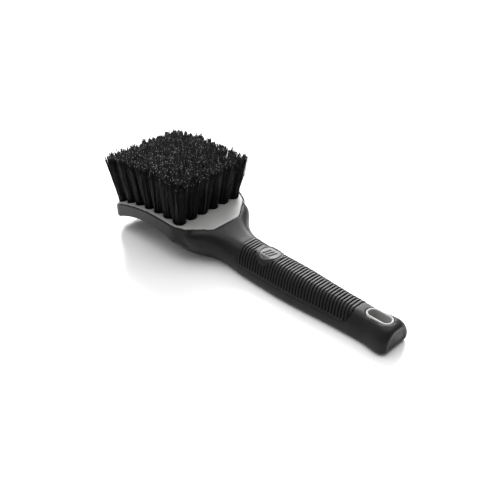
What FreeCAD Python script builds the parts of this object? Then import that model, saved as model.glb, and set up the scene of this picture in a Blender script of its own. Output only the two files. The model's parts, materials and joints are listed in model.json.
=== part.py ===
import FreeCAD, Part
import Sketcher
import math
import os

# Wheel brush for washing car rims: a curved brush head with a grid of filament
# tufts, and a soft-covered handle with a ribbed grip and a hanging hole.
# Lengths are in millimetres. Every shape is drawn with X = 0 at the tip of the
# head, X growing towards the butt of the handle, Z = 0 on the resting plane and
# the bristles pointing to +Z. The frame's origin is half-way along the brush.

doc = FreeCAD.newDocument("WheelBrush")

# ---------------------------------------------------------------- dimensions
DRIVING_DIMENSIONS = [
    ("overall_length", 265.0),
    # head: an arched plate framed by a soft rim
    ("plate_width", 72.0),
    ("plate_thickness", 7.5),
    ("plate_tip", 2.8),
    ("plate_end", 100.0),
    ("arch_radius", 165.0),
    ("arch_crown_x", 63.0),
    ("arch_crown_z", 32.0),
    ("rim_wall", 1.6),
    ("head_end", 101.6),
    ("back_radius", 92.0),
    ("back_crown_x", 53.0),
    ("back_crown_z", 21.3),
    ("kink_x", 87.0),
    ("kink_half_width", 31.5),
    ("end_half_width", 14.2),
    ("tip_corner_radius", 9.2),
    # tufts
    ("tuft_rows", 7),
    ("tuft_columns", 6),
    ("row_pitch", 11.5),
    ("column_pitch", 11.3),
    ("first_row_x", 8.6),
    ("tuft_root_radius", 4.5),
    ("tuft_tip_radius", 5.8),
    ("tuft_hole_radius", 4.85),
    ("tuft_hole_depth", 5.4),
    ("tuft_set_depth", 4.4),
    ("fan_long", 1.16),
    ("fan_wide", 1.085),
    ("trim_radius", 240.0),
    ("trim_crown_x", 60.0),
    ("trim_crown_z", 69.0),
    # staple anchor pressed in under each tuft
    ("anchor_length", 8.0),
    ("anchor_width", 0.6),
    ("anchor_height", 0.8),
    # stiff core that runs down the handle
    ("tongue_width", 14.0),
    ("tongue_top", 16.0),
    ("tongue_base", 8.0),
    # hanging hole
    ("hole_x", 249.5),
    ("hole_length", 18.0),
    ("hole_width", 7.8),
    ("eyelet_wall", 1.6),
    ("eyelet_base", 0.5),
    ("eyelet_top", 19.5),
    # ribbed grip
    ("grip_start", 124.5),
    ("grip_end", 230.5),
    ("grip_base", 9.0),
    ("grip_depth", 1.8),
    ("grip_rise", 0.3),
    ("groove_count", 39),
    ("groove_pitch", 2.66),
    ("groove_width", 1.1),
    ("groove_depth", 1.1),
    ("first_groove_x", 126.4),
    # badge
    ("badge_x", 147.2),
    ("badge_half_length", 8.8),
    ("badge_half_width", 9.2),
    ("badge_rim", 1.2),
    ("badge_rise", 1.1),
    ("collar_width", 1.6),
    ("collar_rise", 0.6),
    # butt end
    ("butt_panel_scale", 0.8),
    ("butt_panel_depth", 0.7),
]

sheet = doc.addObject("Spreadsheet::Sheet", "dims")
for row, (alias, value) in enumerate(DRIVING_DIMENSIONS, start=1):
    sheet.set("A%d" % row, alias)
    sheet.set("B%d" % row, str(value))
    sheet.setAlias("B%d" % row, alias)
doc.recompute()


def dim(alias):
    """Value of one driving dimension, read from the sheet."""
    return float(sheet.get(alias))


def bind(obj, **expressions):
    """Bind properties of an object to cells of the sheet."""
    for prop, expression in expressions.items():
        obj.setExpression(prop, expression)


def shift_to_frame(obj):
    """Move an object drawn from the head's tip into the brush's frame."""
    obj.setExpression("Placement.Base.x", "-dims.overall_length / 2")


def vec(x, y, z=0.0):
    return FreeCAD.Vector(x, y, z)


X_AXIS = vec(1, 0)
Y_AXIS = vec(0, 1)
Z_AXIS = vec(0, 0, 1)


# ------------------------------------------------------------ small builders
def new_body(name):
    body = doc.addObject("PartDesign::Body", name)
    body.Label = name
    shift_to_frame(body)
    return body


def new_sketch(body, name, plane_role):
    """Sketch on one of the body's own origin planes."""
    plane = [p for p in body.Origin.OriginFeatures if p.Role == plane_role][0]
    sketch = body.newObject("Sketcher::SketchObject", name)
    sketch.AttachmentSupport = [(plane, "")]
    sketch.MapMode = "FlatFace"
    return sketch


def add_polygon(sketch, points):
    """Closed outline of straight lines, coincident end to end."""
    first = sketch.GeometryCount
    count = len(points)
    for i in range(count):
        start = points[i]
        end = points[(i + 1) % count]
        sketch.addGeometry(Part.LineSegment(vec(*start), vec(*end)))
    for i in range(count):
        following = first + (i + 1) % count
        sketch.addConstraint(Sketcher.Constraint("Coincident", first + i, 2, following, 1))


def add_stadium(sketch, centre_x, length, width):
    """Slot outline along X: two lines and two half circles."""
    radius = width / 2
    left = centre_x - length / 2 + radius
    right = centre_x + length / 2 - radius
    sketch.addGeometry(Part.LineSegment(vec(left, -radius), vec(right, -radius)))
    right_circle = Part.Circle(vec(right, 0), Z_AXIS, radius)
    sketch.addGeometry(Part.ArcOfCircle(right_circle, -math.pi / 2, math.pi / 2))
    sketch.addGeometry(Part.LineSegment(vec(right, radius), vec(left, radius)))
    left_circle = Part.Circle(vec(left, 0), Z_AXIS, radius)
    sketch.addGeometry(Part.ArcOfCircle(left_circle, math.pi / 2, 3 * math.pi / 2))


def pad(body, sketch, name, length_expression, symmetric=False):
    feature = body.newObject("PartDesign::Pad", name)
    feature.Profile = sketch
    feature.Midplane = symmetric
    feature.setExpression("Length", length_expression)
    return feature


def pocket_through(body, sketch, name):
    feature = body.newObject("PartDesign::Pocket", name)
    feature.Profile = sketch
    feature.Type = "ThroughAll"
    feature.Midplane = True
    return feature


def arch_z(x, radius_name, crown_x_name, crown_z_name):
    """Height at x of the circular arch with the given crown."""
    radius = dim(radius_name)
    run = x - dim(crown_x_name)
    return dim(crown_z_name) - radius + math.sqrt(radius * radius - run * run)


def plate_z(x):
    return arch_z(x, "arch_radius", "arch_crown_x", "arch_crown_z")


def back_z(x):
    return arch_z(x, "back_radius", "back_crown_x", "back_crown_z")


def trim_z(x):
    return arch_z(x, "trim_radius", "trim_crown_x", "trim_crown_z")


def arc_between(centre_x, centre_z, radius, x_start, x_end):
    """Arc of a large circle above its centre, from x_end back to x_start."""
    circle = Part.Circle(vec(centre_x, centre_z), Z_AXIS, radius)
    angle_end = math.acos((x_end - centre_x) / radius)
    angle_start = math.acos((x_start - centre_x) / radius)
    return Part.ArcOfCircle(circle, angle_end, angle_start)


def add_band_profile(sketch, x_start, x_end, top_radius, top_centre, low_radius, low_centre):
    """Side view of an arched band: two arcs closed by two upright lines."""
    top = sketch.addGeometry(arc_between(*top_centre, top_radius, x_start, x_end))
    low = sketch.addGeometry(arc_between(*low_centre, low_radius, x_start, x_end))
    tip = sketch.addGeometry(Part.LineSegment(sketch.Geometry[top].EndPoint,
                                              sketch.Geometry[low].EndPoint))
    end = sketch.addGeometry(Part.LineSegment(sketch.Geometry[low].StartPoint,
                                              sketch.Geometry[top].StartPoint))
    sketch.addConstraint(Sketcher.Constraint("Coincident", top, 2, tip, 1))
    sketch.addConstraint(Sketcher.Constraint("Coincident", tip, 2, low, 2))
    sketch.addConstraint(Sketcher.Constraint("Coincident", low, 1, end, 1))
    sketch.addConstraint(Sketcher.Constraint("Coincident", end, 2, top, 1))


def rounded_outline(points, radii):
    """Closed wire of straight lines with a round at each corner."""
    edges = []
    count = len(points)
    starts = []
    ends = []
    for i in range(count):
        before = vec(*points[i - 1])
        corner = vec(*points[i])
        after = vec(*points[(i + 1) % count])
        to_before = (before - corner).normalize()
        to_after = (after - corner).normalize()
        half_angle = to_before.getAngle(to_after) / 2
        trim = radii[i] / math.tan(half_angle)
        start = corner + to_before * trim
        end = corner + to_after * trim
        bisector = (to_before + to_after).normalize()
        middle = corner + bisector * (radii[i] / math.sin(half_angle) - radii[i])
        edges.append(Part.Arc(start, middle, end))
        starts.append(start)
        ends.append(end)
    outline = []
    for i in range(count):
        outline.append(edges[i])
        outline.append(Part.LineSegment(ends[i], starts[(i + 1) % count]))
    return outline


# --------------------------------------------------------------- head outline
def head_outline(margin):
    """Plan of the head, grown outwards by a margin, as lines and arcs.

    Straight sides, a rounded tip, and a spade-shaped end towards the neck.
    """
    half = dim("plate_width") / 2 + margin
    tip = dim("plate_tip") - margin
    kink_x = dim("kink_x") + margin * 0.6
    kink_half = dim("kink_half_width") + margin * 0.8
    end_x = dim("plate_end") + margin
    end_half = dim("end_half_width") + margin * 0.4
    shoulder_x = kink_x - 9.0
    corners = [
        (tip, -half), (shoulder_x, -half), (kink_x, -kink_half), (end_x, -end_half),
        (end_x, end_half), (kink_x, kink_half), (shoulder_x, half), (tip, half),
    ]
    tip_round = dim("tip_corner_radius") + margin
    radii = [tip_round, 9.0, 4.0, 5.0, 5.0, 4.0, 9.0, tip_round]
    return rounded_outline(corners, radii)


def trim_to_outline(body, margin, name):
    """Cut away all of a body outside the head's plan."""
    reach = 200.0
    sketch = new_sketch(body, name + "_plan", "XY_Plane")
    add_polygon(sketch, [(-reach, -reach), (2 * reach, -reach), (2 * reach, reach), (-reach, reach)])
    for edge in head_outline(margin):
        sketch.addGeometry(edge)
    pocket_through(body, sketch, name)


# ------------------------------------------------------------ stiff grey core
plate_centre = (dim("arch_crown_x"), dim("arch_crown_z") - dim("arch_radius"))
plate_low_radius = dim("arch_radius") - dim("plate_thickness")

core = new_body("core_body")
plate_sketch = new_sketch(core, "plate_side", "XZ_Plane")
add_band_profile(
    plate_sketch, dim("plate_tip") - 5, dim("plate_end") + 5,
    dim("arch_radius"), plate_centre, plate_low_radius, plate_centre)
pad(core, plate_sketch, "plate_band", "dims.plate_width + 10", symmetric=True)
trim_to_outline(core, 0.0, "plate_outline")

tongue_sketch = new_sketch(core, "tongue_side", "XZ_Plane")
tongue_end = dim("hole_x")
add_polygon(tongue_sketch, [
    (78.0, plate_z(78.0) - 4.0),
    (97.0, plate_z(97.0) - 3.5),
    (114.0, dim("tongue_top")),
    (tongue_end, dim("tongue_top")),
    (tongue_end, dim("tongue_base")),
    (104.0, dim("tongue_base")),
    (78.0, plate_z(78.0) - 12.0),
])
pad(core, tongue_sketch, "tongue", "dims.tongue_width", symmetric=True)

eyelet_sketch = new_sketch(core, "eyelet_plan", "XY_Plane")
add_stadium(eyelet_sketch, dim("hole_x"), dim("hole_length") + 2 * dim("eyelet_wall"),
            dim("hole_width") + 2 * dim("eyelet_wall"))
eyelet_sketch.setExpression("AttachmentOffset.Base.z", "dims.eyelet_base")
pad(core, eyelet_sketch, "eyelet", "dims.eyelet_top - dims.eyelet_base")

hole_sketch = new_sketch(core, "hanging_hole_plan", "XY_Plane")
add_stadium(hole_sketch, dim("hole_x"), dim("hole_length"), dim("hole_width"))
pocket_through(core, hole_sketch, "hanging_hole")
doc.recompute()


# ------------------------------------------------------------------- tufts
def tuft_grid():
    """Row, column, root point on the plate and trimmed tip point of each tuft."""
    rows = int(dim("tuft_rows"))
    columns = int(dim("tuft_columns"))
    middle_x = dim("first_row_x") + dim("row_pitch") * (rows - 1) / 2
    for row in range(rows):
        root_x = dim("first_row_x") + row * dim("row_pitch")
        tip_x = middle_x + (root_x - middle_x) * dim("fan_long")
        for column in range(columns):
            root_y = (column - (columns - 1) / 2) * dim("column_pitch")
            tip_y = root_y * dim("fan_wide")
            root = vec(root_x, root_y, plate_z(root_x))
            tip = vec(tip_x, tip_y, trim_z(tip_x))
            yield row + 1, column + 1, root, tip


def frame_placement(point, direction):
    """Placement of a primitive that stands at a point along a direction."""
    rotation = FreeCAD.Rotation(Z_AXIS, direction)
    base = vec(point.x - dim("overall_length") / 2, point.y, point.z)
    return FreeCAD.Placement(base, rotation)


tufts = []
tuft_holes = []
anchors = []
for row, column, root, tip in tuft_grid():
    direction = (tip - root).normalize()
    seat = root - direction * dim("tuft_set_depth")
    tuft = doc.addObject("Part::Cone", "tuft_%d_%d" % (row, column))
    tuft.Label = "tuft_%d_%d" % (row, column)
    bind(tuft, Radius1="dims.tuft_root_radius", Radius2="dims.tuft_tip_radius")
    tuft.Height = (tip - seat).Length
    tuft.Placement = frame_placement(seat, direction)
    tufts.append(tuft)

    hole = doc.addObject("Part::Cylinder", "tuft_hole_%d_%d" % (row, column))
    bind(hole, Radius="dims.tuft_hole_radius", Height="dims.tuft_hole_depth + 4")
    hole.Placement = frame_placement(root - direction * dim("tuft_hole_depth"), direction)
    tuft_holes.append(hole)

    anchor = Part.makeBox(dim("anchor_length"), dim("anchor_width"), dim("anchor_height"),
                          vec(-dim("anchor_length") / 2, -dim("anchor_width") / 2, 0.05))
    anchor.Placement = frame_placement(root - direction * dim("tuft_hole_depth"), direction)
    anchors.append(anchor)

all_holes = doc.addObject("Part::MultiFuse", "all_tuft_holes")
all_holes.Shapes = tuft_holes

core_frame = doc.addObject("Part::Cut", "core_frame")
core_frame.Label = "core_frame"
core_frame.Base = core
core_frame.Tool = all_holes

tuft_anchors = doc.addObject("Part::Feature", "tuft_anchors")
tuft_anchors.Label = "tuft_anchors"
tuft_anchors.Shape = Part.makeCompound(anchors)
doc.recompute()


# ------------------------------------------------- neck and handle, outer form
class Station:
    """One cross-section of the neck and handle, symmetric about Y = 0.

    Control points climb from the flat base to the rounded crown.
    """

    def __init__(self, x, base, low, high, top):
        self.x = x
        self.base = base
        self.low = low
        self.high = high
        self.top = top

    def half_points(self, grow):
        base_half, base_z = self.base
        low_half, low_z = self.low
        high_half, high_z = self.high
        top_half, top_z = self.top
        return [
            (base_half * 0.6, base_z), (base_half, base_z),
            (low_half + grow, low_z), (high_half + grow, high_z),
            (top_half + grow * 0.7, top_z + grow), (top_half * 0.4, top_z + grow),
        ]

    def wire(self, grow=0.0, scale=1.0):
        base_z = self.base[1]
        top_z = self.top[1] + grow
        half = self.half_points(grow)
        loop = [(0.0, base_z)] + half + [(0.0, top_z)]
        loop += [(-y, z) for y, z in reversed(half)]
        middle = (base_z + top_z) / 2
        poles = [vec(self.x, y * scale, middle + (z - middle) * scale) for y, z in loop]
        curve = Part.BSplineCurve()
        curve.buildFromPolesMultsKnots(poles, periodic=True, degree=3)
        return Part.Wire([curve.toShape()])


#            x      base         low           high          top
STATIONS = [
    Station(26.0, (6.0, 16.5), (9.0, 17.5), (9.0, 21.0), (6.0, 23.0)),
    Station(40.0, (13.0, 10.0), (20.0, 12.5), (21.0, 20.0), (15.0, 25.0)),
    Station(55.0, (17.0, 3.0), (27.0, 8.0), (29.5, 20.0), (22.0, 28.0)),
    Station(68.0, (19.0, -0.5), (30.0, 8.0), (33.5, 20.5), (28.5, 29.0)),
    Station(79.0, (19.0, -0.5), (29.5, 8.0), (34.5, 20.5), (31.5, 30.0)),
    Station(88.0, (18.0, -0.5), (26.0, 7.0), (35.0, 20.5), (32.0, 30.2)),
    Station(96.0, (15.0, -0.5), (20.4, 6.0), (32.0, 19.0), (27.5, 29.2)),
    Station(104.0, (12.8, -0.5), (16.4, 6.0), (24.0, 17.5), (17.5, 26.8)),
    Station(112.0, (12.6, -0.5), (15.2, 6.0), (18.0, 15.0), (12.0, 24.2)),
    Station(122.0, (13.5, -0.5), (15.8, 5.0), (15.0, 14.0), (9.0, 22.2)),
    Station(138.0, (15.2, -0.5), (17.0, 5.0), (14.2, 14.0), (7.6, 21.4)),
    Station(165.0, (16.0, -0.5), (17.5, 5.0), (14.0, 14.0), (7.4, 21.0)),
    Station(190.0, (15.2, -0.5), (16.7, 5.0), (13.0, 14.0), (7.0, 20.4)),
    Station(215.0, (13.4, -0.5), (14.8, 5.0), (11.8, 13.0), (6.4, 19.5)),
    Station(238.0, (12.6, -0.5), (13.8, 5.0), (11.4, 12.5), (6.6, 18.8)),
    Station(258.0, (14.2, -0.5), (15.4, 5.0), (13.0, 13.0), (7.6, 19.4)),
]
BUTT_END = Station(261.5, (13.9, 0.0), (15.0, 5.0), (12.7, 12.9), (7.3, 19.0))
BUTT_FACE = Station(dim("overall_length"), (11.4, 2.2), (12.4, 6.0), (10.3, 12.0), (5.9, 16.9))


def handle_form(grow=0.0, sections=None):
    """Smooth solid through the stations, grown or shrunk by an offset."""
    chain = sections or STATIONS + [BUTT_END, BUTT_FACE]
    return Part.makeLoft([station.wire(grow) for station in chain], True, False)


def add_form(name, shape):
    """Document object for a lofted form, placed in the brush's frame."""
    feature = doc.addObject("Part::Feature", name)
    feature.Shape = shape
    shift_to_frame(feature)
    return feature


handle_outer = add_form("handle_outer", handle_form())

# arched head band that carries the rim and the back
head_band = new_body("head_band")
band_sketch = new_sketch(head_band, "band_side", "XZ_Plane")
back_centre = (dim("back_crown_x"), dim("back_crown_z") - dim("back_radius"))
add_band_profile(
    band_sketch, dim("plate_tip") - 4, dim("head_end") + 4,
    dim("arch_radius"), plate_centre, dim("back_radius"), back_centre)
pad(head_band, band_sketch, "band", "dims.plate_width + 20", symmetric=True)
trim_to_outline(head_band, dim("rim_wall"), "band_outline")

# ------------------------------------------------------------- ribbed grip
grip_zone = new_body("grip_zone")
zone_sketch = new_sketch(grip_zone, "grip_side", "XZ_Plane")
zone_top = 60.0
zone_corners = [
    (dim("grip_start"), dim("grip_base")), (dim("grip_end"), dim("grip_base")),
    (dim("grip_end"), zone_top), (dim("grip_start"), zone_top),
]
for edge in rounded_outline(zone_corners, [3.0, 11.0, 3.0, 3.0]):
    zone_sketch.addGeometry(edge)
pad(grip_zone, zone_sketch, "grip_block", "80", symmetric=True)

grip_skin = add_form("grip_skin", handle_form(dim("grip_rise")))
grip_floor = add_form("grip_floor", handle_form(-dim("grip_depth")))
groove_floor = add_form("groove_floor", handle_form(dim("grip_rise") - dim("groove_depth")))
doc.recompute()

groove_slabs = []
for index in range(int(dim("groove_count"))):
    slab = doc.addObject("Part::Box", "groove_slab_%02d" % (index + 1))
    bind(slab, Length="dims.groove_width")
    slab.Width = 60
    slab.Height = 60
    slab_x = dim("first_groove_x") + index * dim("groove_pitch") - dim("overall_length") / 2
    slab.Placement.Base = vec(slab_x, -30, dim("grip_base") + 1.2)
    groove_slabs.append(slab)
slab_group = doc.addObject("Part::MultiFuse", "groove_slabs")
slab_group.Shapes = groove_slabs


def cut(name, base, tool):
    feature = doc.addObject("Part::Cut", name)
    feature.Base = base
    feature.Tool = tool
    return feature


def common(name, shapes):
    feature = doc.addObject("Part::MultiCommon", name)
    feature.Shapes = shapes
    return feature


def oval_block(name, margin, openings=()):
    """Upright oval block over the grip, centred on the badge, with through openings."""
    body = new_body(name)
    sketch = new_sketch(body, name + "_plan", "XY_Plane")
    centre = vec(dim("badge_x"), 0)
    half_length = dim("badge_half_length") + margin
    half_width = dim("badge_half_width") + margin
    end_of_width = centre + Y_AXIS * half_width
    end_of_length = centre + X_AXIS * half_length
    if half_width > half_length:
        sketch.addGeometry(Part.Ellipse(end_of_width, end_of_length, centre))
    else:
        sketch.addGeometry(Part.Ellipse(end_of_length, end_of_width, centre))
    for corners in openings:
        add_polygon(sketch, corners)
    sketch.AttachmentOffset.Base.z = 5.0
    pad(body, sketch, name + "_block", "40")
    return body


grip_shell = cut("grip_shell", grip_skin, grip_floor)
grip_blank = common("grip_blank", [grip_shell, grip_zone])
grooves = cut("grooves", slab_group, groove_floor)

badge_stations = [station for station in STATIONS if 104.0 <= station.x <= 215.0]
badge_skin = add_form("badge_skin", handle_form(dim("badge_rise"), badge_stations))
collar_skin = add_form("collar_skin", handle_form(dim("collar_rise"), badge_stations))

seat_gap = 0.05
collar_oval = oval_block("collar_oval", dim("collar_width"))
badge_seat = oval_block("badge_seat", seat_gap)
collar_blank = common("collar_blank", [collar_oval, collar_skin])
collar_block = cut("collar_block", collar_blank, grip_floor)
ribbed_blank = cut("ribbed_blank", grip_blank, grooves)
ribbed_with_collar = doc.addObject("Part::Fuse", "ribbed_with_collar")
ribbed_with_collar.Base = ribbed_blank
ribbed_with_collar.Tool = collar_block
ribbed_grip = cut("ribbed_grip", ribbed_with_collar, badge_seat)
ribbed_grip.Label = "ribbed_grip"

# ------------------------------------------------------------------- badge
emblem_bars = []
for offset in (-3.0, 0.0, 3.0):
    bar_x = dim("badge_x") + offset
    emblem_bars.append([
        (bar_x - 1.5, -3.4), (bar_x - 0.3, -3.4), (bar_x + 1.5, 3.4), (bar_x + 0.3, 3.4)])
badge_oval = oval_block("badge_oval", 0.0)
badge_blank = common("badge_blank", [badge_oval, badge_skin])
badge_shell = cut("badge_shell", badge_blank, grip_floor)
badge_opening = oval_block("badge_opening", -dim("badge_rim"), emblem_bars)
badge_recess = cut("badge_recess", badge_opening, collar_skin)
badge = cut("grip_badge", badge_shell, badge_recess)
badge.Label = "grip_badge"

# --------------------------------------------------------------- soft cover
grip_recess = cut("grip_recess", grip_zone, grip_floor)
butt_panel_wire = BUTT_FACE.wire(scale=dim("butt_panel_scale"))
butt_panel = Part.Face(butt_panel_wire).extrude(vec(-dim("butt_panel_depth"), 0))
butt_recess = add_form("butt_recess", butt_panel)

hole_passage = new_body("hole_passage")
passage_sketch = new_sketch(hole_passage, "passage_plan", "XY_Plane")
add_stadium(passage_sketch, dim("hole_x"), dim("hole_length") + 2 * dim("eyelet_wall"),
            dim("hole_width") + 2 * dim("eyelet_wall"))
pad(hole_passage, passage_sketch, "passage", "120", symmetric=True)

cover_form = doc.addObject("Part::MultiFuse", "cover_form")
cover_form.Shapes = [handle_outer, head_band]
plate_clearance = new_body("plate_clearance")
clearance_sketch = new_sketch(plate_clearance, "clearance_side", "XZ_Plane")
add_band_profile(
    clearance_sketch, dim("plate_tip") - 5, dim("plate_end") + 5,
    dim("arch_radius") + 30, plate_centre, plate_low_radius, plate_centre)
pad(plate_clearance, clearance_sketch, "clearance_band", "dims.plate_width + 10", symmetric=True)
trim_to_outline(plate_clearance, 0.0, "clearance_outline")

# block below the resting plane: it gives the cover a flat underside
floor_block = doc.addObject("Part::Box", "floor_block")
floor_block.Length = 400
floor_block.Width = 200
floor_block.Height = 20
floor_block.Placement.Base = vec(-200, -100, -20)

cover_tools = doc.addObject("Part::MultiFuse", "cover_tools")
cover_tools.Shapes = [core, plate_clearance, hole_passage, grip_recess, butt_recess, floor_block]
soft_cover = cut("soft_cover", cover_form, cover_tools)
soft_cover.Label = "soft_cover"
doc.recompute()

# ------------------------------------------------------------------- export
sub_parts = [core_frame, soft_cover, ribbed_grip, badge, tuft_anchors] + tufts
for obj in doc.Objects:
    if "Invalid" in obj.State or "Error" in obj.State:
        raise RuntimeError("%s failed: %s" % (obj.Name, obj.State))
os.makedirs("parts", exist_ok=True)
for part in sub_parts:
    shape = part.Shape
    if shape.isNull() or not shape.isValid():
        raise RuntimeError("%s has no valid shape" % part.Label)
    shape.exportStep("parts/%s.step" % part.Label)
    print(part.Label, len(shape.Solids), round(shape.Volume / 1000, 2), "cm3")
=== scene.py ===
import json
import math

import bpy
import numpy as np
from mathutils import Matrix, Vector


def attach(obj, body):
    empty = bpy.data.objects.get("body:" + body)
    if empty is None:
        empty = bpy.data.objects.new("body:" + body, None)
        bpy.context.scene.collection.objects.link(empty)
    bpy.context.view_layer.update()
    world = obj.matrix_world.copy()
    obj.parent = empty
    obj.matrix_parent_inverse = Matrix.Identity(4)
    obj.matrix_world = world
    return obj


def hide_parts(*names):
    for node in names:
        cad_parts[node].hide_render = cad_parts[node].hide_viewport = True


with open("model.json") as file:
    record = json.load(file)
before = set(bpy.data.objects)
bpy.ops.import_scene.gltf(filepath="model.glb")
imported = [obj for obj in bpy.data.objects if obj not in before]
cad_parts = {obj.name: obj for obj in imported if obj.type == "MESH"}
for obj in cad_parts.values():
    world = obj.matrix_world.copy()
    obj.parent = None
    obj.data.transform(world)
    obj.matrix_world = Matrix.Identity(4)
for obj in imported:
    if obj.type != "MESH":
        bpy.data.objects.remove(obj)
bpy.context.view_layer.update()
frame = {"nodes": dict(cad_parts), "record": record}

MM = 0.001
SCENE = bpy.context.scene
RECORD = frame["record"]
NODES = frame["nodes"]


# ---------------------------------------------------------------- materials
MOTTLE_SCALE = 70.0
GLOSS_SCALE = MOTTLE_SCALE * 3.1
GRAIN_HEIGHT = 0.06 * MM
STREAK_SCALE = 900.0


def new_material(name):
    material = bpy.data.materials.new(name)
    material.use_nodes = True
    nodes = material.node_tree.nodes
    shader = nodes["Principled BSDF"]
    return material, nodes, material.node_tree.links, shader


def add_noise(nodes, links, coords, scale, detail=2.0, roughness=0.5):
    noise = nodes.new("ShaderNodeTexNoise")
    noise.inputs["Scale"].default_value = scale
    noise.inputs["Detail"].default_value = detail
    noise.inputs["Roughness"].default_value = roughness
    links.new(coords, noise.inputs["Vector"])
    return noise.outputs["Fac"]


def add_ramp(nodes, links, factor, low, high, start=0.0, end=1.0):
    ramp = nodes.new("ShaderNodeValToRGB")
    ramp.color_ramp.elements[0].position = start
    ramp.color_ramp.elements[0].color = (*low, 1.0)
    ramp.color_ramp.elements[1].position = end
    ramp.color_ramp.elements[1].color = (*high, 1.0)
    links.new(factor, ramp.inputs["Fac"])
    return ramp.outputs["Color"]


def add_range(nodes, links, factor, low, high):
    mapped = nodes.new("ShaderNodeMapRange")
    mapped.inputs["To Min"].default_value = low
    mapped.inputs["To Max"].default_value = high
    links.new(factor, mapped.inputs["Value"])
    return mapped.outputs["Result"]


def add_bump(nodes, links, shader, height, strength, distance):
    bump = nodes.new("ShaderNodeBump")
    bump.inputs["Strength"].default_value = strength
    bump.inputs["Distance"].default_value = distance
    links.new(height, bump.inputs["Height"])
    links.new(bump.outputs["Normal"], shader.inputs["Normal"])


def object_coords(nodes):
    return nodes.new("ShaderNodeTexCoord").outputs["Object"]


def moulded_material(name, low, high, rough, grain_scale, bump, specular):
    """Moulded plastic or elastomer: mottled tone, uneven gloss and a fine surface grain."""
    material, nodes, links, shader = new_material(name)
    coords = object_coords(nodes)
    mottle = add_noise(nodes, links, coords, MOTTLE_SCALE, 3.0)
    links.new(add_ramp(nodes, links, mottle, low, high, 0.3, 0.7), shader.inputs["Base Color"])
    gloss = add_noise(nodes, links, coords, GLOSS_SCALE, 4.0)
    links.new(add_range(nodes, links, gloss, *rough), shader.inputs["Roughness"])
    grain = add_noise(nodes, links, coords, grain_scale, 2.0)
    add_bump(nodes, links, shader, grain, bump, GRAIN_HEIGHT)
    shader.inputs["Specular IOR Level"].default_value = specular
    return material, shader


def filament_material(name, low, high, rough, specular):
    """Drawn filament: each one has its own tone, with a fine streak along it; on the end caps the light
    tones are painted highlights, glints on the filament ends.
    """
    material, nodes, links, shader = new_material(name)
    tone = nodes.new("ShaderNodeAttribute")
    tone.attribute_name = "filament_tone_and_glint"
    links.new(add_ramp(nodes, links, tone.outputs["Fac"], low, high), shader.inputs["Base Color"])
    streak = add_noise(nodes, links, object_coords(nodes), STREAK_SCALE, 2.0)
    links.new(add_range(nodes, links, streak, rough - 0.08, rough + 0.1), shader.inputs["Roughness"])
    shader.inputs["Specular IOR Level"].default_value = specular
    return material


def make_materials():
    made = {}
    made["core_grey"], _ = moulded_material(
        "core_grey", (0.33, 0.33, 0.322), (0.39, 0.39, 0.382), (0.32, 0.44), 2600.0, 0.30, 0.5)
    made["soft_black"], cover = moulded_material(
        "soft_black", (0.0040, 0.0040, 0.0044), (0.0095, 0.0095, 0.0100), (0.26, 0.46), 3600.0, 0.5, 0.23)
    cover.inputs["Sheen Weight"].default_value = 0.02
    cover.inputs["Sheen Roughness"].default_value = 0.4
    made["grip_black"], _ = moulded_material(
        "grip_black", (0.0030, 0.0030, 0.0034), (0.0060, 0.0060, 0.0065), (0.28, 0.38), 3600.0, 0.35, 0.30)
    made["badge_black"], _ = moulded_material(
        "badge_black", (0.006, 0.006, 0.0065), (0.011, 0.011, 0.012), (0.28, 0.38), 2400.0, 0.12, 0.4)
    made["staple_metal"], staple = moulded_material(
        "staple_metal", (0.45, 0.45, 0.46), (0.6, 0.6, 0.61), (0.25, 0.4), 3000.0, 0.3, 0.5)
    staple.inputs["Metallic"].default_value = 1.0
    made["bristle_black"] = filament_material(
        "bristle_black", (0.0006, 0.0006, 0.0007), (0.034, 0.034, 0.036), 0.32, 0.13)
    # end caps: their light tones are painted highlights, glints on the filament ends
    made["bristle_tip_glint"] = filament_material(
        "bristle_tip_glint", (0.0006, 0.0006, 0.0007), (0.74, 0.74, 0.75), 0.45, 0.05)
    return made


MATERIALS = make_materials()


def add_object(name, mesh):
    obj = bpy.data.objects.new(name, mesh)
    SCENE.collection.objects.link(obj)
    return obj


# ------------------------------------------------------------------ bristles
FILAMENTS_PER_TUFT = 250
FILAMENT_SIDES = 5
FILAMENT_RINGS = 7
FILAMENT_RADIUS = 0.22 * MM
# share of filaments whose end caps are bright painted highlights, glints on the trimmed ends
PAINTED_GLINT_SHARE = 0.14
HAIR_RADIUS = 0.25 * MM
HAIR_TUFT = "tuft_7_6"
HAIR_ENDS = np.array([(16.8, 2.3, 4.8), (10.3, 2.3, 6.8)]) * MM
CLUMPS_PER_TUFT = 26
BRISTLE_SEED = 20
END_BAND = 3.0 * MM
GOLDEN_ANGLE = math.pi * (3.0 - math.sqrt(5.0))


def ring_centre(points):
    """Centre and radius of a ring of points."""
    low = points.min(axis=0)
    high = points.max(axis=0)
    centre = (low + high) / 2
    return centre, np.linalg.norm(points - centre, axis=1).max()


def tuft_axis(node):
    """Root centre, tip centre, root radius and tip radius of a tuft's tapered solid."""
    points = np.array([v.co for v in node.data.vertices])
    height = points[:, 2]
    root, root_radius = ring_centre(points[height < height.min() + END_BAND])
    tip, tip_radius = ring_centre(points[height > height.max() - END_BAND])
    return root, tip, root_radius, tip_radius


def cross_axes(direction):
    """Two directions at right angles to a near-upright one."""
    side = np.cross(direction, (0.0, 1.0, 0.0))
    side /= np.linalg.norm(side)
    return side, np.cross(direction, side)


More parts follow.
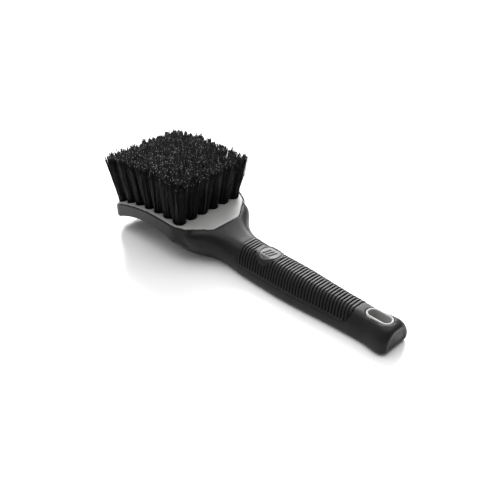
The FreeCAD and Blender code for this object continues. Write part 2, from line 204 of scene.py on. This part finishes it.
def filament_lines(rng, root, tip, root_radius, tip_radius, side, across):
    """Centre lines of a tuft's filaments, spreading, crimped and gathered in small clumps."""
    count = FILAMENTS_PER_TUFT
    index = np.arange(count)
    reach = np.sqrt((index + 0.5) / count)
    angle = index * GOLDEN_ANGLE + rng.normal(0, 0.12, count)
    flat = np.stack([reach * np.cos(angle), reach * np.sin(angle)], axis=1)

    clump = flat[rng.choice(count, CLUMPS_PER_TUFT, replace=False)]
    nearest = np.argmin(np.linalg.norm(flat[:, None] - clump[None], axis=2), axis=1)
    pull = rng.uniform(0.0, 0.45, count)[:, None]
    splay = 1.08 + np.abs(rng.normal(0, 0.11, count)) * np.where(reach > 0.75, 1.6, 0.7)
    drift = rng.normal(0, 0.16, (CLUMPS_PER_TUFT, 2))
    tip_flat = (flat + (clump[nearest] - flat) * pull) * splay[:, None] + drift[nearest]
    tip_flat += rng.normal(0, 0.06, (count, 2))

    crimp = rng.uniform(0.04, 0.14, count) * MM
    turns = rng.uniform(2.0, 4.0, count) * 2 * math.pi
    phase = rng.uniform(0, 2 * math.pi, count)
    bow = rng.normal(0, 0.32, count) * MM
    clump_length = rng.normal(0, 0.014, CLUMPS_PER_TUFT)
    length = 1.0 + clump_length[nearest] + rng.normal(0, 0.022, count)
    stray = rng.random(count) < 0.06
    length += stray * rng.uniform(0.02, 0.08, count)

    lines = np.zeros((count, FILAMENT_RINGS, 3))
    for ring in range(FILAMENT_RINGS):
        along = ring / (FILAMENT_RINGS - 1)
        packed = flat * (root_radius * 0.95) * (1 - along) + tip_flat * tip_radius * along
        wave = np.sin(phase + turns * along) * crimp * min(1.0, along * 2)
        bend = math.sin(math.pi * along) * bow
        centre = root + (tip - root) * (along * length)[:, None]
        lines[:, ring] = (
            centre + side * (packed[:, 0] + wave + bend)[:, None]
            + across * (packed[:, 1] + wave * 0.5)[:, None])
    return lines


def hair_lines(root, tip):
    """Two loose hairs that stand out from the block beside a corner tuft."""
    along = np.linspace(0.0, 1.0, FILAMENT_RINGS)[:, None]
    lines = []
    for offset in HAIR_ENDS:
        end = tip + offset
        bow = np.sin(math.pi * along) * 0.05 * (tip - end)
        lines.append(root + (end - root) * along + bow)
    return np.array(lines)


def tube_faces(count):
    """Side faces and both end caps of a set of tubes with the same rings and sides."""
    sides = FILAMENT_SIDES
    per_tube = FILAMENT_RINGS * sides
    around = np.arange(sides)
    following = (around + 1) % sides
    quads = []
    for ring in range(FILAMENT_RINGS - 1):
        base = ring * sides
        quads.append(np.stack(
            [base + around, base + following, base + following + sides, base + around + sides], axis=1))
    quads = np.concatenate(quads)
    first = (np.arange(count) * per_tube)[:, None, None]
    walls = (first + quads[None]).reshape(-1, 4)
    top = first[:, 0] + (FILAMENT_RINGS - 1) * sides + around
    bottom = first[:, 0] + around[::-1]
    return walls.tolist(), top.tolist() + bottom.tolist()


def build_filaments(name, lines, radii, tones_and_glints):
    """Mesh object of thin tubes along the lines, with a lighter end cap on each; the bright caps are
    painted highlights, glints on the trimmed ends.
    """
    count = len(lines)
    direction = (lines[:, -1] - lines[:, 0]).mean(axis=0)
    side, across = cross_axes(direction / np.linalg.norm(direction))
    turn = 2 * math.pi * np.arange(FILAMENT_SIDES) / FILAMENT_SIDES
    circle = np.cos(turn)[:, None] * side + np.sin(turn)[:, None] * across
    points = lines[:, :, None, :] + radii[:, None, None, None] * circle[None, None]
    walls, caps = tube_faces(count)
    mesh = bpy.data.meshes.new(name)
    mesh.from_pydata(points.reshape(-1, 3).tolist(), [], walls + caps)
    attribute = mesh.attributes.new("filament_tone_and_glint", "FLOAT", "POINT")
    attribute.data.foreach_set("value", np.repeat(tones_and_glints, FILAMENT_RINGS * FILAMENT_SIDES))
    mesh.materials.append(MATERIALS["bristle_black"])
    mesh.materials.append(MATERIALS["bristle_tip_glint"])
    is_cap = np.arange(len(walls) + len(caps)) >= len(walls)
    mesh.polygons.foreach_set("material_index", is_cap.astype(int))
    mesh.polygons.foreach_set("use_smooth", ~is_cap)
    obj = add_object(name, mesh)
    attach(obj, "root")
    return obj


def build_tuft(node_name, node, rng):
    root, tip, root_radius, tip_radius = tuft_axis(node)
    direction = (tip - root) / np.linalg.norm(tip - root)
    side, across = cross_axes(direction)
    lines = filament_lines(rng, root, tip, root_radius, tip_radius, side, across)
    radii = FILAMENT_RADIUS * rng.uniform(0.85, 1.15, FILAMENTS_PER_TUFT)
    # a share of filaments get bright end caps: painted highlights standing in for glints
    painted_glint = rng.random(FILAMENTS_PER_TUFT) < PAINTED_GLINT_SHARE
    tones_and_glints = np.where(
        painted_glint, rng.uniform(0.3, 1.0, FILAMENTS_PER_TUFT), rng.uniform(0.0, 0.08, FILAMENTS_PER_TUFT))
    if node_name == HAIR_TUFT:
        lines = np.concatenate([lines, hair_lines(root, tip)])
        radii = np.concatenate([radii, np.full(len(HAIR_ENDS), HAIR_RADIUS)])
        # the loose hairs take the top tone, so their end caps are bright painted highlights too
        tones_and_glints = np.concatenate([tones_and_glints, np.ones(len(HAIR_ENDS))])
    obj = build_filaments(node_name + "_filaments", lines, radii, tones_and_glints)
    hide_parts(node_name)


def build_bristles():
    rng = np.random.default_rng(BRISTLE_SEED)
    tuft_names = sorted(n for n in NODES if n.startswith("tuft_") and n != "tuft_anchors")
    for name in tuft_names:
        build_tuft(name, NODES[name], rng)


# --------------------------------------------------------------- CAD pieces
# stretch of the handle that leans, and the heights between which it does
LEAN_START, LEAN_FULL = -28.5 * MM, -12.5 * MM
LEAN_FADE, LEAN_END = 98.5 * MM, 106.2 * MM
LEAN_CREST, LEAN_FOOT = 21.0 * MM, 9.0 * MM
RIB_LEAN = math.radians(19.0)
TIP_ROUND_REACH = 11.0 * MM
TIP_ROUND_PASSES = 70


def softened(node_name, slot, voxel, passes, keep=1.0):
    """Copy of a CAD node with its sharp edges rounded over, as a moulding's are."""
    node = NODES[node_name]
    obj = add_object(node_name + "_moulded", node.data.copy())
    obj.matrix_world = node.matrix_world
    remesh = obj.modifiers.new("round_over", "REMESH")
    remesh.mode = "VOXEL"
    remesh.voxel_size = voxel
    smooth = obj.modifiers.new("ease", "SMOOTH")
    smooth.factor = 0.5
    smooth.iterations = passes
    if keep < 1.0:
        thin = obj.modifiers.new("thin", "DECIMATE")
        thin.ratio = keep
    evaluated = obj.evaluated_get(bpy.context.evaluated_depsgraph_get())
    mesh = bpy.data.meshes.new_from_object(evaluated)
    obj.modifiers.clear()
    obj.data = mesh
    mesh.materials.clear()
    mesh.materials.append(MATERIALS[slot])
    mesh.polygons.foreach_set("use_smooth", [True] * len(mesh.polygons))
    mesh.polygons.foreach_set("material_index", [0] * len(mesh.polygons))
    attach(obj, "root")
    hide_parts(node_name)
    return obj


def round_tip(cover):
    """Rounds the free end of the rim, which is fuller there than along its sides."""
    mesh = cover.data
    count = len(mesh.vertices)
    flat = np.empty(count * 3)
    mesh.vertices.foreach_get("co", flat)
    points = flat.reshape(-1, 3)
    distance = points[:, 0] - points[:, 0].min()
    weight = np.clip(1.0 - distance / TIP_ROUND_REACH, 0.0, 1.0)
    group = cover.vertex_groups.new(name="tip")
    for index in np.nonzero(weight > 0.01)[0]:
        group.add([int(index)], float(weight[index]), "REPLACE")
    smooth = cover.modifiers.new("round_tip", "SMOOTH")
    smooth.factor = 0.6
    smooth.iterations = TIP_ROUND_PASSES
    smooth.vertex_group = "tip"
    evaluated = cover.evaluated_get(bpy.context.evaluated_depsgraph_get())
    rounded = bpy.data.meshes.new_from_object(evaluated)
    cover.modifiers.clear()
    cover.vertex_groups.clear()
    cover.data = rounded


def smooth_step(values, low, high):
    """Ease from 0 at the low end to 1 at the high end."""
    ratio = np.clip((values - low) / (high - low), 0.0, 1.0)
    return ratio * ratio * (3.0 - 2.0 * ratio)


def lean_handle(obj):
    """Leans the ribs back on the flanks; the crest, the ends and the underside stay in place."""
    count = len(obj.data.vertices)
    flat = np.empty(count * 3)
    obj.data.vertices.foreach_get("co", flat)
    points = flat.reshape(-1, 3)
    along, height = points[:, 0], points[:, 2]
    reach = smooth_step(along, LEAN_START, LEAN_FULL) * (1.0 - smooth_step(along, LEAN_FADE, LEAN_END))
    drop = np.clip(LEAN_CREST - height, 0.0, LEAN_CREST - LEAN_FOOT)
    drop = drop * smooth_step(height, 0.0, LEAN_FOOT)
    points[:, 0] += reach * drop * math.tan(RIB_LEAN)
    obj.data.vertices.foreach_set("co", points.ravel())
    obj.data.update()


def dress_cad_nodes():
    for entry in RECORD["subparts"]:
        obj = NODES[entry["node"]]
        obj.data.materials.clear()
        obj.data.materials.append(MATERIALS[entry["material_slot"]])


# -------------------------------------------------------------------- stage
FLOOR_REACH = 6.0
FLOOR_CLEARANCE = 0.2 * MM


def build_stage():
    mesh = bpy.data.meshes.new("floor")
    corners = [
        (-FLOOR_REACH, -FLOOR_REACH, 0), (FLOOR_REACH, -FLOOR_REACH, 0),
        (FLOOR_REACH, FLOOR_REACH, 0), (-FLOOR_REACH, FLOOR_REACH, 0)]
    mesh.from_pydata(corners, [], [(0, 1, 2, 3)])
    floor = add_object("floor", mesh)
    floor.location.z = -FLOOR_CLEARANCE
    material, nodes, links, shader = new_material("floor_white")
    cloud = add_noise(nodes, links, object_coords(nodes), 3.0, 2.0)
    tone = add_ramp(nodes, links, cloud, (0.90, 0.90, 0.90), (0.93, 0.93, 0.93))
    links.new(tone, shader.inputs["Base Color"])
    shader.inputs["Roughness"].default_value = 0.22
    shader.inputs["Specular IOR Level"].default_value = 0.35
    floor.data.materials.append(material)


def add_area_light(name, location, target, size, power):
    data = bpy.data.lights.new(name, "AREA")
    data.shape = "RECTANGLE"
    data.size, data.size_y = size
    data.energy = power
    light = bpy.data.objects.new(name, data)
    light.location = location
    light.rotation_mode = "QUATERNION"
    light.rotation_quaternion = (Vector(target) - Vector(location)).to_track_quat("-Z", "Y")
    SCENE.collection.objects.link(light)


FRONT_OF_STUDIO = (0.92, -0.40, 0.0)
BACK_BRIGHTNESS = 0.62
FRONT_BRIGHTNESS = 0.30


def build_lights():
    SCENE.view_settings.view_transform = "Standard"
    world = bpy.data.worlds.new("studio")
    world.use_nodes = True
    nodes, links = world.node_tree.nodes, world.node_tree.links
    background = nodes["Background"]
    background.inputs["Color"].default_value = (1.0, 1.0, 1.0, 1.0)
    towards_front = nodes.new("ShaderNodeVectorMath")
    towards_front.operation = "DOT_PRODUCT"
    towards_front.inputs[1].default_value = FRONT_OF_STUDIO
    links.new(nodes.new("ShaderNodeTexCoord").outputs["Generated"], towards_front.inputs[0])
    shade = nodes.new("ShaderNodeMapRange")
    shade.inputs["From Min"].default_value = 0.0
    shade.inputs["From Max"].default_value = 0.9
    shade.inputs["To Min"].default_value = BACK_BRIGHTNESS
    shade.inputs["To Max"].default_value = FRONT_BRIGHTNESS
    links.new(towards_front.outputs["Value"], shade.inputs["Value"])
    links.new(shade.outputs["Result"], background.inputs["Strength"])
    SCENE.world = world
    add_area_light("top_softbox", (-0.1, 0.15, 1.0), (0, 0, 0), (1.6, 1.6), 13.0)
    add_area_light("back_softbox", (-0.75, 0.85, 0.70), (0, 0, 0), (1.1, 0.6), 22.0)


# ------------------------------------------------------------------- camera
CAMERA_AZIMUTH = 44.8
CAMERA_ELEVATION = 33.9
CAMERA_DISTANCE = 0.629
CAMERA_TARGET = Vector((-0.0215, 0.0153, 0.0))
CAMERA_LENS = 56.5
SENSOR = 36.0


def build_camera():
    data = bpy.data.cameras.new("camera")
    data.sensor_width = SENSOR
    data.lens = CAMERA_LENS
    azimuth = math.radians(CAMERA_AZIMUTH)
    elevation = math.radians(CAMERA_ELEVATION)
    back = Vector((
        math.sin(azimuth) * math.cos(elevation),
        -math.cos(azimuth) * math.cos(elevation),
        math.sin(elevation)))
    camera = bpy.data.objects.new("camera", data)
    camera.location = CAMERA_TARGET + back * CAMERA_DISTANCE
    camera.rotation_mode = "QUATERNION"
    camera.rotation_quaternion = (-back).to_track_quat("-Z", "Y")
    SCENE.collection.objects.link(camera)
    SCENE.camera = camera


build_camera()
build_lights()
build_stage()
dress_cad_nodes()
cover = softened("soft_cover", "soft_black", 0.8 * MM, 4)
round_tip(cover)
softened("core_frame", "core_grey", 0.6 * MM, 2)
grip = softened("ribbed_grip", "grip_black", 0.26 * MM, 1, keep=0.5)
badge = softened("grip_badge", "badge_black", 0.25 * MM, 2)
for moulding in (cover, grip, badge):
    lean_handle(moulding)
build_bristles()
